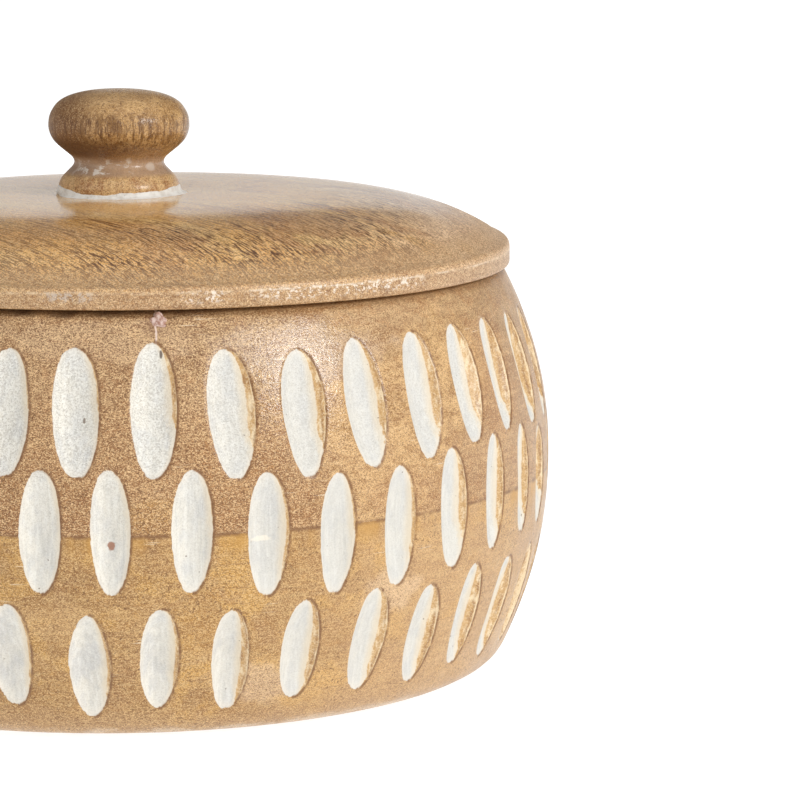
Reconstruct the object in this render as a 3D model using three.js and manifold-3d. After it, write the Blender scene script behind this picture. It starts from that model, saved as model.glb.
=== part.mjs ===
// A round wooden box with a lift-off lid: turned on a lathe from a blank glued up of two
// layers, and carved round its wall with three rows of upright gouge cuts.
// Millimetres, +Z up. The origin is the middle of the foot, on the surface it stands on.
// A direction round the box is measured from its front, -Y, and grows towards +X.
import * as THREE from "three";
import { mergeVertices } from "three/addons/utils/BufferGeometryUtils.js";
import Module from "manifold-3d";

const wasm = await Module();
wasm.setup();

// Bowl, outside
const BELLY_RADIUS = 100;
const BELLY_HEIGHT = 47.5; // where the wall is widest
const BOWL_HEIGHT = 92.4; // up to the rim
const MOUTH_DRAW = 11.4; // how far the wall draws in from the belly to the mouth
const SHOULDER_POWER = 2.15; // fullness of the curve from the belly up to the mouth
const HEEL_DRAW = 9.8; // how far the wall draws in from the belly to the heel
const FLANK_POWER = 2.06; // fullness of the curve from the belly down to the heel
const HEEL_HEIGHT = 5;
const HEEL_ROUND = 10.2; // reach of the heel's round, inwards to the flat foot
const RIM_ROUND = 1.5;

// Bowl, inside
const WALL = 9;
const FLOOR = 10;
const INNER_CORNER = 16;

// The blank is two layers of wood glued flat together
const SEAM_HEIGHT = 46.3;
const GLUE_LINE = 0.3;

// Gouge cuts: as many in each row, a row given by the height of its middle, the size of
// its cuts measured on the wall, and the direction of one of them in degrees
const CUTS_PER_ROW = 39;
const CUT_DEPTH = 2.6;
const CUT_FLARE = 0.5; // how far the cutter's centre stays outside the wall
const ROWS = [
  { middle: 71.9, length: 28, width: 10.4, direction: 4.2 },
  { middle: 46.6, length: 26.6, width: 9.6, direction: -0.8 },
  { middle: 19.3, length: 25.2, width: 9.2, direction: 4.4 },
];

// Lid
const LID_OVERHANG = 1.6; // its edge stands past the mouth
const LID_BAND = 3; // upright band round the edge
const LID_EDGE_ROUND = 0.8;
const LID_SHOULDER = 3; // width of the round above the band
const LID_RISE = 12.5; // from the top of the band to the crown
const DOME_FALL = 12.1; // what the dome alone falls from the crown to the edge
const DOME_POWER = 5; // flat at the crown, steep at the edge
const SPIGOT_DEPTH = 6; // the ring under the lid that drops into the mouth
const SPIGOT_WIDTH = 11;
const SPIGOT_CLEARANCE = 1;
const HOLLOW_DEPTH = 9; // of the underside, measured from the bottom of the spigot
const HOLLOW_CORNER = 4;

// Knob
const KNOB_HEIGHT = 24;
const KNOB_RADIUS = 15.95;
const KNOB_WIDEST = 16; // height of its widest place
const KNOB_FULLNESS = 2.5; // 2 is round, more is squarer
const KNOB_FOOT_RADIUS = 13.9;
const KNOB_FOOT_EDGE = 2.9;
const NECK_RADIUS = 10.4;
const NECK_HEIGHT = 8.3;
const NECK_HOLLOW = 0.45; // how far up from the foot's edge its curve has reached the neck
const NECK_FLARE = 0.35; // how far up to the widest place the curve leaves the neck
const KNOB_TURN = 0.4; // how far up to the widest place the curve has reached its radius

// Countersunk wood screw, up through the lid into the knob
const SCREW_LENGTH = 24;
const SCREW_RADIUS = 2.1;
const SCREW_HEAD_RADIUS = 4.1;
const SCREW_HEAD_DEPTH = 2.8;
const SCREW_POINT = 4;
const DRIVE_WIDTH = 1;
const DRIVE_SPAN = 4.4;
const DRIVE_DEPTH = 1.4;

const SEAT_GAP = 0.3; // between pieces that rest on or in each other
const PILOT_SPARE = 1; // the knob's hole goes this far past the screw's point
const OVERSHOOT = 1; // a hole is cut from this far outside the piece
const SLOPE_REACH = 0.5; // a slope is taken over this much height on either side

// Facets, and steps along the curves
const BOWL_FACETS = 2 * CUTS_PER_ROW;
const LID_FACETS = 54;
const KNOB_FACETS = 28;
const SCREW_FACETS = 16;
const CUT_FACETS = 6;
const EDGE_STEPS = 2;
const CORNER_STEPS = 3;
const OUTER_WALL_STEPS = 3;
const INNER_WALL_STEPS = 2;
const DOME_STEPS = 6;
const FOOT_STEPS = 4;
const UNDERSIDE_STEPS = 6;
const CAP_STEPS = 7;

const MOUTH_RADIUS = BELLY_RADIUS - MOUTH_DRAW;
const HEEL_RADIUS = BELLY_RADIUS - HEEL_DRAW;
const LID_RADIUS = MOUTH_RADIUS + LID_OVERHANG;
const LID_CROWN = LID_BAND + LID_RISE; // above the lid's lower edge
const HOLLOW_CEILING = HOLLOW_DEPTH - SPIGOT_DEPTH; // above the lid's lower edge

const point = (radius, height) => new THREE.Vector2(radius, height);
const between = THREE.MathUtils.lerp;

// Outer radius of the bowl at a height between the heel and the rim
function wallRadius(height) {
  if (height >= BELLY_HEIGHT) {
    const rise = (height - BELLY_HEIGHT) / (BOWL_HEIGHT - BELLY_HEIGHT);
    return BELLY_RADIUS - MOUTH_DRAW * rise ** SHOULDER_POWER;
  }
  const drop = (BELLY_HEIGHT - height) / (BELLY_HEIGHT - HEEL_HEIGHT);
  return BELLY_RADIUS - HEEL_DRAW * drop ** FLANK_POWER;
}

// How fast a radius grows with height, or a height with radius
function slopeOf(curve, at) {
  return (curve(at + SLOPE_REACH) - curve(at - SLOPE_REACH)) / (2 * SLOPE_REACH);
}

// Points of the wall between two heights, moved in by the inset
function wallPoints(from, to, steps, inset = 0) {
  return Array.from({ length: steps + 1 }, (_, i) => {
    const height = between(from, to, i / steps);
    return point(wallRadius(height) - inset, height);
  });
}

// A rounded corner between two points, pulled towards the corner's tip
function corner(from, tip, to, steps = CORNER_STEPS) {
  return new THREE.QuadraticBezierCurve(from, tip, to).getPoints(steps);
}

// A three.js geometry as a solid that can be cut and joined
function solid(geometry) {
  const bare = geometry.clone();
  bare.deleteAttribute("normal");
  bare.deleteAttribute("uv");
  const merged = mergeVertices(bare, 1e-4);
  return new wasm.Manifold(
    new wasm.Mesh({
      numProp: 3,
      vertProperties: new Float32Array(merged.attributes.position.array),
      triVerts: new Uint32Array(merged.index.array),
    }),
  );
}

// The solid swept by a profile of (radius, height) points turned about Z
function turned(profile, facets, direction = 0) {
  const start = THREE.MathUtils.degToRad(direction);
  return solid(new THREE.LatheGeometry(profile, facets, start).rotateX(Math.PI / 2));
}

function meshOf(name, made, color, roughness, metalness = 0) {
  const { vertProperties, triVerts } = made.getMesh();
  const geometry = new THREE.BufferGeometry();
  geometry.setAttribute("position", new THREE.BufferAttribute(vertProperties, 3));
  geometry.setIndex(new THREE.BufferAttribute(triVerts, 1));
  geometry.computeVertexNormals();
  const mesh = new THREE.Mesh(
    geometry,
    new THREE.MeshStandardMaterial({ color, roughness, metalness, flatShading: true }),
  );
  mesh.name = name;
  return mesh;
}

// One gouge cut, as the long ellipsoid that it takes out of the wall. Its long axis lies
// along the wall's slope, and it is a little longer than the cut where the wall curves
// away from it.
function gouge(row, direction) {
  const reach = row.length / 2;
  const slope = point(slopeOf(wallRadius, row.middle), 1).normalize();
  const middle = point(wallRadius(row.middle), row.middle);
  const falls = [-reach, reach].map((along) => {
    const height = row.middle + along * slope.y;
    const end = point(wallRadius(height), height).sub(middle);
    return Math.abs(end.cross(slope));
  });
  const fall = (falls[0] + falls[1]) / 2;
  const depth = CUT_DEPTH + CUT_FLARE;
  const halfLength = reach / Math.sqrt(1 - ((fall + CUT_FLARE) / depth) ** 2);
  const halfWidth = row.width / 2 / Math.sqrt(1 - (CUT_FLARE / depth) ** 2);

  const angle = THREE.MathUtils.degToRad(direction);
  const outwards = new THREE.Vector3(Math.sin(angle), -Math.cos(angle), 0);
  const upwards = new THREE.Vector3(0, 0, 1);
  const along = outwards.clone().multiplyScalar(slope.x).addScaledVector(upwards, slope.y);
  const normal = outwards.clone().multiplyScalar(slope.y).addScaledVector(upwards, -slope.x);
  const across = along.clone().cross(normal);
  const centre = outwards
    .clone()
    .multiplyScalar(middle.x)
    .addScaledVector(upwards, middle.y)
    .addScaledVector(normal, CUT_FLARE);
  const place = new THREE.Matrix4().makeBasis(across, along, normal).setPosition(centre);
  const cutter = new THREE.SphereGeometry(1, CUT_FACETS, CUT_FACETS);
  return solid(cutter.scale(halfWidth, halfLength, depth).applyMatrix4(place));
}

// A block of the bowl with every cut that reaches into it
function carved(block) {
  let made = block;
  for (const row of ROWS) {
    for (let i = 0; i < CUTS_PER_ROW; i++) {
      made = made.subtract(gouge(row, row.direction + (i * 360) / CUTS_PER_ROW));
    }
  }
  return made;
}

function lowerBlock() {
  const top = SEAM_HEIGHT - GLUE_LINE / 2;
  const heelTip = point(HEEL_RADIUS - slopeOf(wallRadius, HEEL_HEIGHT) * HEEL_HEIGHT, 0);
  const heel = corner(
    point(HEEL_RADIUS - HEEL_ROUND, 0),
    heelTip,
    point(HEEL_RADIUS, HEEL_HEIGHT),
  );
  const cornerTop = FLOOR + INNER_CORNER;
  const floorEdge = wallRadius(FLOOR) - WALL;
  const innerCorner = corner(
    point(wallRadius(cornerTop) - WALL, cornerTop),
    point(floorEdge, FLOOR),
    point(floorEdge - INNER_CORNER, FLOOR),
  );
  return turned(
    [
      point(0, 0),
      ...heel,
      ...wallPoints(HEEL_HEIGHT, top, OUTER_WALL_STEPS).slice(1),
      ...wallPoints(top, cornerTop, INNER_WALL_STEPS, WALL),
      ...innerCorner.slice(1),
      point(0, FLOOR),
    ],
    BOWL_FACETS,
    ROWS[0].direction,
  );
}

function upperBlock() {
  const bottom = SEAM_HEIGHT + GLUE_LINE / 2;
  const shoulder = BOWL_HEIGHT - RIM_ROUND;
  const outerRim = corner(
    point(wallRadius(shoulder), shoulder),
    point(MOUTH_RADIUS, BOWL_HEIGHT),
    point(MOUTH_RADIUS - RIM_ROUND, BOWL_HEIGHT),
    EDGE_STEPS,
  );
  const innerRim = corner(
    point(MOUTH_RADIUS - WALL + RIM_ROUND, BOWL_HEIGHT),
    point(MOUTH_RADIUS - WALL, BOWL_HEIGHT),
    point(wallRadius(shoulder) - WALL, shoulder),
    EDGE_STEPS,
  );
  const outside = wallPoints(bottom, shoulder, OUTER_WALL_STEPS);
  return turned(
    [
      ...outside,
      ...outerRim.slice(1),
      ...innerRim,
      ...wallPoints(shoulder, bottom, INNER_WALL_STEPS, WALL).slice(1),
      outside[0].clone(),
    ],
    BOWL_FACETS,
    ROWS[0].direction,
  );
}

// The lid, its lower edge at height 0
function lid() {
  const domeHeight = (radius) => LID_CROWN - DOME_FALL * (radius / LID_RADIUS) ** DOME_POWER;
  const domeEdge = LID_RADIUS - LID_SHOULDER;
  const shoulderTip = domeHeight(domeEdge) + slopeOf(domeHeight, domeEdge) * LID_SHOULDER;
  const shoulder = corner(
    point(LID_RADIUS, LID_BAND),
    point(LID_RADIUS, shoulderTip),
    point(domeEdge, domeHeight(domeEdge)),
  );
  const dome = Array.from({ length: DOME_STEPS }, (_, i) => {
    const radius = domeEdge * Math.sqrt(1 - (i + 1) / DOME_STEPS);
    return point(radius, domeHeight(radius));
  });
  const edge = corner(
    point(LID_RADIUS - LID_EDGE_ROUND, 0),
    point(LID_RADIUS, 0),
    point(LID_RADIUS, LID_EDGE_ROUND),
    EDGE_STEPS,
  );
  const spigotRadius = MOUTH_RADIUS - WALL - SPIGOT_CLEARANCE;
  const hollowRadius = spigotRadius - SPIGOT_WIDTH;
  const hollowCorner = corner(
    point(hollowRadius - HOLLOW_CORNER, HOLLOW_CEILING),
    point(hollowRadius, HOLLOW_CEILING),
    point(hollowRadius, HOLLOW_CEILING - HOLLOW_CORNER),
  );
  const body = turned(
    [
      point(0, HOLLOW_CEILING),
      ...hollowCorner,
      point(hollowRadius, -SPIGOT_DEPTH),
      point(spigotRadius, -SPIGOT_DEPTH),
      point(spigotRadius, 0),
      ...edge,
      ...shoulder,
      ...dome,
    ],
    LID_FACETS,
  );
  return body.subtract(screwHole());
}

// The knob, its foot at height 0
function knob() {
  const neck = point(NECK_RADIUS, NECK_HEIGHT);
  const foot = corner(
    point(KNOB_FOOT_RADIUS, KNOB_FOOT_EDGE),
    point(NECK_RADIUS, between(KNOB_FOOT_EDGE, NECK_HEIGHT, NECK_HOLLOW)),
    neck,
    FOOT_STEPS,
  );
  const underside = new THREE.CubicBezierCurve(
    neck,
    point(NECK_RADIUS, between(NECK_HEIGHT, KNOB_WIDEST, NECK_FLARE)),
    point(KNOB_RADIUS, between(NECK_HEIGHT, KNOB_WIDEST, KNOB_TURN)),
    point(KNOB_RADIUS, KNOB_WIDEST),
  ).getPoints(UNDERSIDE_STEPS);
  const cap = Array.from({ length: CAP_STEPS - 1 }, (_, i) => {
    const angle = ((i + 1) / CAP_STEPS) * (Math.PI / 2);
    const out = Math.cos(angle) ** (2 / KNOB_FULLNESS);
    const up = Math.sin(angle) ** (2 / KNOB_FULLNESS);
    return point(KNOB_RADIUS * out, between(KNOB_WIDEST, KNOB_HEIGHT, up));
  });
  const body = turned(
    [
      point(0, 0),
      point(KNOB_FOOT_RADIUS, 0),
      ...foot,
      ...underside.slice(1),
      ...cap,
      point(0, KNOB_HEIGHT),
    ],
    KNOB_FACETS,
  );
  return body.subtract(pilotHole());
}

// The countersunk hole through the lid, its opening in the ceiling of the lid's hollow
function screwHole() {
  const headRadius = SCREW_HEAD_RADIUS + SEAT_GAP;
  const shankRadius = SCREW_RADIUS + SEAT_GAP;
  const end = LID_CROWN - HOLLOW_CEILING + OVERSHOOT;
  const profile = [
    point(0, -OVERSHOOT),
    point(headRadius, -OVERSHOOT),
    point(headRadius, SEAT_GAP),
    point(shankRadius, SCREW_HEAD_DEPTH + SEAT_GAP),
    point(shankRadius, end),
    point(0, end),
  ];
  return turned(profile, SCREW_FACETS).translate([0, 0, HOLLOW_CEILING]);
}

// The hole in the knob's foot that takes the screw's end
function pilotHole() {
  const radius = SCREW_RADIUS + SEAT_GAP;
  const lidThickness = LID_CROWN - HOLLOW_CEILING;
  const depth = SCREW_LENGTH - lidThickness - SEAT_GAP + PILOT_SPARE;
  const profile = [
    point(0, -OVERSHOOT),
    point(radius, -OVERSHOOT),
    point(radius, depth - radius / 2),
    point(0, depth),
  ];
  return turned(profile, SCREW_FACETS);
}

// The screw, the face of its head at height 0 and its point up
function screw() {
  const profile = [
    point(0, 0),
    point(SCREW_HEAD_RADIUS, 0),
    point(SCREW_RADIUS, SCREW_HEAD_DEPTH),
    point(SCREW_RADIUS, SCREW_LENGTH - SCREW_POINT),
    point(0, SCREW_LENGTH),
  ];
  const slot = new THREE.BoxGeometry(DRIVE_SPAN, DRIVE_WIDTH, 2 * DRIVE_DEPTH);
  const cross = solid(slot).add(solid(slot.clone().rotateZ(Math.PI / 2)));
  return turned(profile, SCREW_FACETS).subtract(cross);
}

const box = new THREE.Group();
box.add(meshOf("lower_block", carved(lowerBlock()), 0xc99a5b, 0.6));
box.add(meshOf("upper_block", carved(upperBlock()), 0xb98f66, 0.6));

const lidGroup = new THREE.Group();
lidGroup.position.z = BOWL_HEIGHT + SEAT_GAP;
const knobMesh = meshOf("knob", knob(), 0x9a6a3a, 0.45);
knobMesh.position.z = LID_CROWN + SEAT_GAP;
const screwMesh = meshOf("knob_screw", screw(), 0xb9b9b4, 0.35, 0.9);
screwMesh.position.z = HOLLOW_CEILING;
lidGroup.add(meshOf("lid", lid(), 0xb5885a, 0.45), knobMesh, screwMesh);
box.add(lidGroup);

export default box;
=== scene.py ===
import math

import bmesh
import bpy
import numpy as np
from mathutils import Matrix, Vector
from mathutils.geometry import delaunay_2d_cdt


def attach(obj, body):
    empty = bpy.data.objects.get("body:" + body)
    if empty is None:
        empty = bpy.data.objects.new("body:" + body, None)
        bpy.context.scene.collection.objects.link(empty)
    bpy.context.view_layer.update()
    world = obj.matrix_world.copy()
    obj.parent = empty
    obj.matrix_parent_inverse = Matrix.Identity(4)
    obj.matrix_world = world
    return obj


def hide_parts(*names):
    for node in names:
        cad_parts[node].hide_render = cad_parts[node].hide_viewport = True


# A round wooden box: a bowl of two glued layers with three rows of gouge cuts that keep
# white paint, and a domed lid with a turned knob. Shapes are worked out in millimetres.
# A direction round the box is measured from the front, -Y, and grows towards +X.

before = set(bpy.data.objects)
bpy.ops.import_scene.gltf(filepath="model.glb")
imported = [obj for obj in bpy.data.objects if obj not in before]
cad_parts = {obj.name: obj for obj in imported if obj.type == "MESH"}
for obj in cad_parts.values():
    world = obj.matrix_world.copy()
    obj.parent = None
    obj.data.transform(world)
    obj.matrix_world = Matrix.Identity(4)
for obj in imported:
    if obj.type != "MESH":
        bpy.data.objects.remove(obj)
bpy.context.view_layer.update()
MM = 0.001
TAU = 2 * math.pi
rng = np.random.default_rng(11)

# Bowl, a hair inside the solid's box
BELLY_RADIUS = 99.9
BELLY_HEIGHT = 47.5
BOWL_HEIGHT = 92.4
MOUTH_DRAW = 11.4
SHOULDER_POWER = 2.15
HEEL_DRAW = 9.8
FLANK_POWER = 2.06
HEEL_HEIGHT = 5
HEEL_ROUND = 10.2
RIM_ROUND = 1.5
WALL = 9
FLOOR = 10
INNER_CORNER = 16
SEAM_HEIGHT = 46.3
GLUE_GROOVE = 0.01
MOUTH_RADIUS = BELLY_RADIUS - MOUTH_DRAW
HEEL_RADIUS = BELLY_RADIUS - HEEL_DRAW

# Lid and knob
LID_SEAT = BOWL_HEIGHT + 0.3
LID_RADIUS = 90.1
LID_CROWN = 15.5
DOME_FALL = 12.42
DOME_POWER = 5.44
SHOULDER_START = 86.25
ARRIS_HEIGHT = 3.5
LID_TILT = 0.0131
LID_SHIFT = 0.4
SCREW_HOLE = 2.4
HOLLOW_HEIGHT = 3
SPIGOT_DROP = 6
SPIGOT_CLEARANCE = 1
SPIGOT_WIDTH = 11
KNOB_SEAT = LID_SEAT + LID_CROWN + 0.3
KNOB_SIDES = [
    (13.95, 1.0), (13.9, 2.2), (13.2, 3.6), (11.9, 5.0), (10.75, 6.2), (10.4, 7.2),
    (10.8, 8.2), (11.9, 9.2), (13.15, 10.2), (14.3, 11.2), (15.3, 12.4), (16.0, 13.8),
    (16.3, 15.2), (16.25, 16.6), (15.95, 18.0), (15.35, 19.2), (14.5, 20.4),
    (13.3, 21.4), (11.5, 22.3), (9.1, 23.0), (6.2, 23.5), (3.0, 23.78), (0, 23.85),
]

# Gouge cuts. Each row has the height of its middle, the size of its cuts in mm, the direction
# of cut number 0 in degrees, the number of the last cut before the join at the back, and how
# much the cuts widen upwards. The cuts seen in front, from number `since` on, each have their
# shift sideways in degrees and up in mm, their shares of the row's width and length, and how
# far across and up the cut its paint is worn off, where the cut reaches from -1 to 1.
CUTS_PER_ROW = 39
CUT_DEPTH = 2.5
ROWS = [
    dict(
        middle=71.9, length=28.3, width=10.3, first=4.2, since=-2, last=18, taper=0.09,
        seen=(
            (-0.23, 0.2, 1, 1, 0.92, -0.3),
            (-0.60, 0.3, 1, 1, 0.9, -0.3),
            (-0.14, 0.7, 1, 1, 0.78, -0.5),
            (0.44, -0.6, 1, 1, 0.7, -0.7),
            (0.89, -1.2, 0.98, 1, 0.66, -0.75),
            (0.73, -0.3, 0.95, 1.02, 0.72, -0.85),
            (1.39, -0.2, 1, 1.01, 0.66, -0.8),
            (1.29, 0.4, 1, 0.93, 0.5, -0.9),
            (0.72, 0.9, 0.87, 0.93, 0.45, -0.95),
            (1.00, 0.0, 0.9, 0.93, 0.4, -1.0),
        ),
    ),
    dict(
        middle=46.6, length=26.6, width=9.6, first=-0.8, since=-1, last=19, taper=0.05,
        seen=(
            (0.14, 0.5, 0.93, 1, 0.95, 0),
            (-0.59, 0.4, 0.93, 1, 0.95, 0),
            (0.06, 0.3, 0.93, 1, 0.94, -0.2),
            (0.37, -1.0, 0.93, 0.98, 0.86, -1.0),
            (0.50, -2.3, 0.93, 1, 0.9, -0.3),
            (0.73, -2.4, 0.93, 0.98, 0.84, -0.8),
            (1.16, -0.7, 0.95, 1.02, 0.66, -0.7),
            (1.23, 0.8, 0.82, 1, 0.68, -0.9),
            (0.75, 1.3, 0.74, 0.93, 0.62, -0.9),
        ),
    ),
    dict(
        middle=19.3, length=24.9, width=9.2, first=4.4, since=-2, last=18, taper=0.02,
        seen=(
            (-0.21, 0.3, 0.94, 1, 0.84, -0.9),
            (0.64, -2.2, 0.94, 0.97, 0.8, -0.8),
            (0.24, -0.5, 0.94, 0.95, 0.8, -0.8),
            (0.19, -1.5, 0.94, 0.97, 0.64, -1.1),
            (0.43, -0.4, 0.94, 0.95, 0.66, -1.1),
            (1.53, -0.2, 0.96, 1, 0.64, -1.1),
            (1.83, -1.1, 0.96, 0.97, 0.6, -1.1),
            (1.78, 0.7, 0.95, 1, 0.54, -1.1),
            (1.68, -0.2, 0.95, 1, 0.5, -1.1),
            (1.4, 0.0, 0.95, 1, -0.5, -1.3),
        ),
    ),
]
CUT_GAP = 0.9
NEIGHBOUR_REACH = 14
SHRINK = 0.985

# The net on the wall round the cuts: its step, the share of it between rows, and how far it
# stays from the seam and the ends of the wall, and from the cuts
RING_POINTS = 56
GRID_STEP = 2.3
ROW_SHARE = 0.87
SEAM_MARGIN = 1.2
CUT_MARGIN = 1.9
CUT_SQUARENESS = 2.2
FAR_FROM_CUTS = 3.0
ROUND_LENGTH = TAU * BELLY_RADIUS

# The photograph's camera: place in m, focal length in mm on a sensor 36 mm wide, and turn to
# the right, dip and roll in radians
CAMERA_PLACE = (0, -0.9035, 0.20145)
FOCAL_LENGTH = 175.8
CAMERA_TURN, CAMERA_DIP, CAMERA_ROLL = 0.0722, 0.15576, 0.00386

# Light: radiance of the backdrop and of the front and back of the room above it, and lamps as
# (name, direction round the box, elevation, distance in m, size in m, power in W). The lamp
# behind lights the wall alone and shows in no reflection.
BACKDROP_LIGHT = 0.7
BACKDROP_EDGE = (0.2, 0.25)
FRONT_LIGHT = 0.69
BACK_LIGHT = 0.15
ZENITH_LIGHT = 0.42
FRONT_AZIMUTH = math.radians(25)
LAMPS = [
    ("softbox_right", 50, 27, 1.1, 0.3, 4.4),
    ("softbox_left", -63, 28, 1.3, 0.5, 1.6),
]
BACK_LAMP = ("softbox_behind", 180, 9, 1.3, 0.6, 2.4)


def bezier(start, tip, end, steps):
    t = np.linspace(0, 1, steps + 1)[:, None]
    start, tip, end = (np.array(p, float) for p in (start, tip, end))
    return (1 - t) ** 2 * start + 2 * (1 - t) * t * tip + t * t * end


def wall_radius(height):
    rise = np.clip((height - BELLY_HEIGHT) / (BOWL_HEIGHT - BELLY_HEIGHT), 0, None)
    drop = np.clip((BELLY_HEIGHT - height) / (BELLY_HEIGHT - HEEL_HEIGHT), 0, None)
    return BELLY_RADIUS - MOUTH_DRAW * rise**SHOULDER_POWER - HEEL_DRAW * drop**FLANK_POWER


def wall_points(start, end, steps, inset=0.0):
    heights = np.linspace(start, end, steps + 1)
    return np.column_stack([wall_radius(heights) - inset, heights])


def outside_profile():
    """The bowl's outside as (radius, height), from the flat foot up to the rim."""
    shoulder = BOWL_HEIGHT - RIM_ROUND
    slope = wall_radius(HEEL_HEIGHT + 0.5) - wall_radius(HEEL_HEIGHT - 0.5)
    heel = bezier(
        (HEEL_RADIUS - HEEL_ROUND, 0),
        (HEEL_RADIUS - slope * HEEL_HEIGHT, 0),
        (HEEL_RADIUS, HEEL_HEIGHT),
        12,
    )
    rim = bezier(
        (wall_radius(shoulder), shoulder),
        (MOUTH_RADIUS, BOWL_HEIGHT),
        (MOUTH_RADIUS - RIM_ROUND, BOWL_HEIGHT),
        5,
    )
    return np.vstack([heel, wall_points(HEEL_HEIGHT, shoulder, 90)[1:], rim[1:]])


OUTSIDE = outside_profile()
REACH = np.concatenate([[0], np.cumsum(np.linalg.norm(np.diff(OUTSIDE, axis=0), axis=1))])
TANGENT = np.gradient(OUTSIDE, REACH, axis=0)
TANGENT /= np.linalg.norm(TANGENT, axis=1)[:, None]


def reach_at(height):
    """Distance along the outside profile to a height."""
    return np.interp(height, OUTSIDE[:, 1], REACH)


def on_wall(across, along, depth=0.0):
    """Points of the wall: across is in mm of a circle of BELLY_RADIUS, along is a
    distance along the profile, depth goes into the wood."""
    radius, height = (np.interp(along, REACH, OUTSIDE[:, k]) for k in (0, 1))
    tangent_r, tangent_z = (np.interp(along, REACH, TANGENT[:, k]) for k in (0, 1))
    radius = radius - depth * tangent_z
    height = height + depth * tangent_r
    angle = across / BELLY_RADIUS
    return np.column_stack([radius * np.sin(angle), -radius * np.cos(angle), height])


def make_object(name, points, faces, floats=None, smooth=True):
    """A mesh object from points in mm, with float attributes on its points."""
    mesh = bpy.data.meshes.new(name)
    mesh.from_pydata([tuple(p) for p in np.asarray(points, float) * MM], [], faces)
    for key, values in (floats or {}).items():
        attribute = mesh.attributes.new(key, "FLOAT", "POINT")
        attribute.data.foreach_set("value", np.asarray(values, np.float32))
    mesh.validate()
    if smooth:
        mesh.polygons.foreach_set("use_smooth", [True] * len(mesh.polygons))
    mesh.update()
    made = bpy.data.objects.new(name, mesh)
    bpy.context.scene.collection.objects.link(made)
    return made


def lathe(profile, columns, start=0.0, closed=False):
    """Points and faces of a profile turned about Z. Ends on the axis become single
    points. The profile runs so that the outside is on its right, seen with +Z up."""
    profile = np.asarray(profile, float)
    angles = start + np.arange(columns) * TAU / columns
    points, rows, faces = [], [], []
    for radius, height in profile:
        if radius < 1e-6:
            rows.append([len(points)])
            points.append((0, 0, height))
        else:
            rows.append(list(range(len(points), len(points) + columns)))
            points += [(radius * math.sin(a), -radius * math.cos(a), height) for a in angles]
    pairs = list(zip(rows, rows[1:])) + ([(rows[-1], rows[0])] if closed else [])
    for low, high in pairs:
        for i in range(columns):
            j = (i + 1) % columns
            if len(low) == 1:
                faces.append((low[0], high[j], high[i]))
            elif len(high) == 1:
                faces.append((low[i], low[j], high[0]))
            else:
                faces.append((low[i], low[j], high[j], high[i]))
    return np.array(points), faces


def all_cuts():
    """Every gouge cut with its own small differences."""
    cuts = []
    for row in ROWS:
        for i in range(CUTS_PER_ROW):
            k = i if i <= row["last"] else i - CUTS_PER_ROW
            aside, up = rng.normal(0, 0.35), rng.normal(0, 0.8)
            bare, end = rng.uniform(0.42, 0.92), rng.uniform(-0.95, -0.3)
            aside, up = np.clip(aside, -0.7, 0.7), np.clip(up, -1.6, 1.6)
            wide = long = 1.0
            if 0 <= k - row["since"] < len(row["seen"]):
                aside, up, wide, long, bare, end = row["seen"][k - row["since"]]
            cuts.append(
                dict(
                    across=math.radians(row["first"] + k * 360 / CUTS_PER_ROW + aside)
                    * BELLY_RADIUS,
                    along=float(reach_at(row["middle"] + up)),
                    stretch=BELLY_RADIUS / float(wall_radius(row["middle"])),
                    half_width=wide * row["width"] / 2 * rng.uniform(0.95, 1.04),
                    half_length=long * row["length"] / 2 * rng.uniform(0.98, 1.03),
                    lean=math.radians(rng.normal(0, 1.2)),
                    taper=row["taper"] * rng.uniform(0.5, 1.5),
                    blunt=rng.uniform(0.965, 0.998),
                    chop=rng.uniform(-0.05, 0.05),
                    depth=CUT_DEPTH * rng.uniform(0.9, 1.08),
                    keel=rng.uniform(-0.34, -0.12),
                    waves=rng.normal(0, 0.008, 4),
                    phases=rng.uniform(0, TAU, 4),
                    free=not 0 <= k - row["since"] < len(row["seen"]),
                    floats=dict(cut_seed=rng.uniform(0, 1), cut_bare=bare, cut_end=end),
                )
            )
    return cuts


def cut_ring(cut, share, outset=0.0):
    """One ring of points of a cut, in mm from its middle: share 1 is its outline, and
    outset moves it outwards. Also how deep each point lies and where it is across."""
    turn = np.arange(RING_POINTS) * TAU / RING_POINTS

    def shape(angle):
        x, y = np.cos(angle), np.sin(angle)
        x = np.sign(x) * np.abs(x) ** 0.97
        y = np.maximum(y, -cut["blunt"] + cut["chop"] * x)
        swell = 1 + sum(
            wave * np.cos((n + 2) * angle + phase)
            for n, (wave, phase) in enumerate(zip(cut["waves"], cut["phases"]))
        )
        x = x * (1 + cut["taper"] * y) * swell * cut["half_width"]
        y = y * swell * cut["half_length"]
        c, s = math.cos(cut["lean"]), math.sin(cut["lean"])
        return np.column_stack([c * x + s * y, c * y - s * x])

    points = shape(turn) * share
    if outset:
        step = 0.06
        tangent = shape(turn + step) - shape(turn - step)
        tangent /= np.linalg.norm(tangent, axis=1)[:, None]
        points = points + outset * np.column_stack([tangent[:, 1], -tangent[:, 0]])
    y = share * np.sin(turn)
    x = np.clip(share * np.cos(turn) / np.sqrt(np.maximum(1 - y**2, 1e-6)), -1, 1)
    keel = cut["keel"]
    side = np.where(x < keel, (keel - x) / (1 + keel), (x - keel) / (1 - keel))
    power = np.where(x < keel, 1.9, 2.3)
    depth = cut["depth"] * (1 - y**2) * (1 - side**power)
    return points, depth, x


# Rings of a cut from outside in: share of the outline, outset in mm, and rounding depth
CUT_RINGS = [
    (1, 0.9, 0.0), (1, 0.35, 0.015), (1, 0.0, 0.13),
    (0.955, 0, 0.06), (0.9, 0, 0), (0.82, 0, 0), (0.72, 0, 0),
    (0.6, 0, 0), (0.46, 0, 0), (0.3, 0, 0), (0.14, 0, 0),
]


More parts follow.
